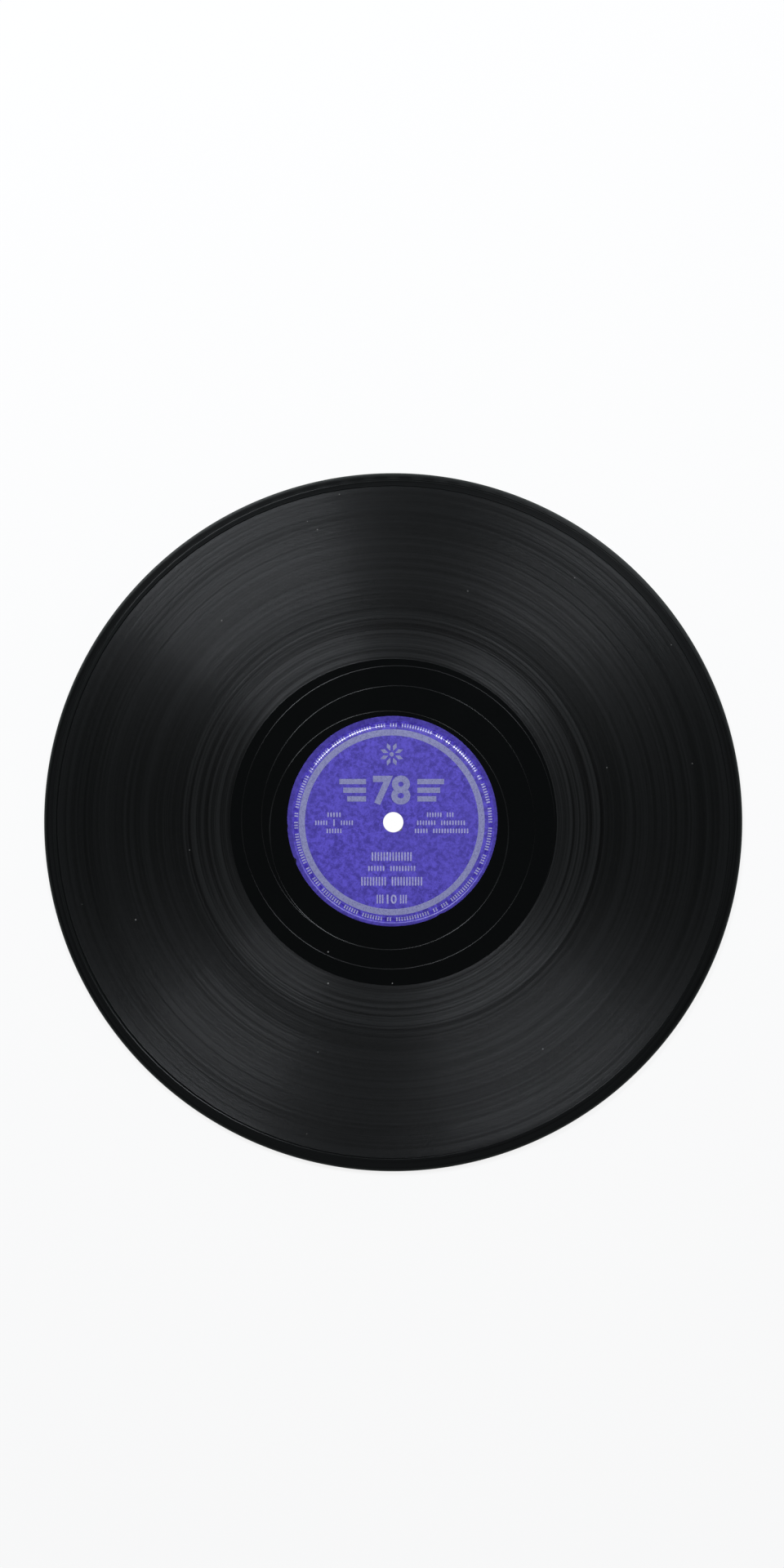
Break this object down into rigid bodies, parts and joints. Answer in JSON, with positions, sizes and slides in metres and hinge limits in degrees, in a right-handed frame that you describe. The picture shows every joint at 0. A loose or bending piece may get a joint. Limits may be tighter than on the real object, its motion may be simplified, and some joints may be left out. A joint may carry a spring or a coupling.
{
  "type": "phonograph record",
  "caption": "Flat black shellac gramophone record with a rounded edge, a spiral-grooved band on each side, a paper label on each side and a spindle hole.",
  "frame": {"origin": "centre of the spindle hole on the plane that the record lies on, which is the land of side B", "axes": "+Z along the spindle hole, out of side A, the side in the picture; +X to the right and +Y up as side A is seen in the picture"},
  "size_m": [0.2508, 0.2508, 0.0022],
  "materials": {
    "shellac": "glossy black mineral-filled shellac, with a satin sheen across the fine grooves",
    "label_paper": "matt blue-violet paper with silver-grey print, pressed smooth"
  },
  "bodies": {
    "root": {"disc": "shellac", "label_side_a": "label_paper", "label_side_b": "label_paper"}
  },
  "joints": []
}
